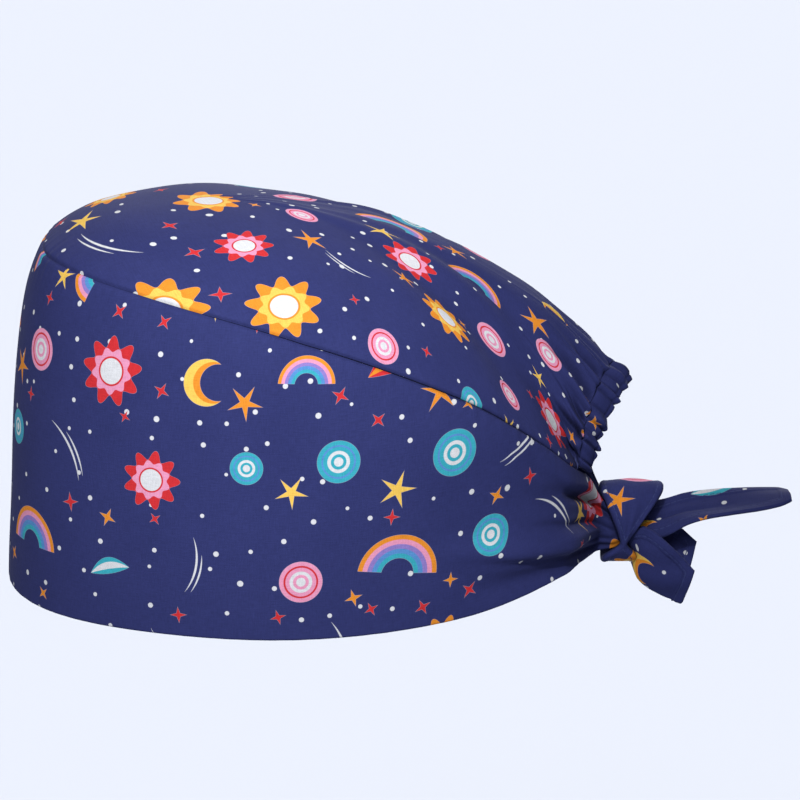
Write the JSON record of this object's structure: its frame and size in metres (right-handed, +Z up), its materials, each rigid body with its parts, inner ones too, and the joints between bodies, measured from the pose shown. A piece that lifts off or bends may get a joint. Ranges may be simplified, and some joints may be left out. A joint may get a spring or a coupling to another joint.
{
  "type": "surgical scrub cap",
  "caption": "Soft cloth surgical scrub cap with a puffed crown, a tall side band, a gathered elastic opening at the nape and knotted ties",
  "frame": {"origin": "middle of the head opening, in the plane of the rim at the forehead", "axes": "+X towards the wearer's left, -Y towards the forehead, +Z up out of the crown"},
  "size_m": [0.1608, 0.2877, 0.152],
  "materials": {
    "crown_print": "matte printed cotton",
    "band_print": "matte printed cotton",
    "casing_print": "matte printed cotton, gathered",
    "tie_print": "matte printed cotton"
  },
  "bodies": {
    "root": {"crown_panel": "crown_print", "side_band": "band_print", "elastic_casing": "casing_print", "knot_wrap": "tie_print", "tie_tail_long": "tie_print", "tie_tail_short": "tie_print"}
  },
  "joints": []
}
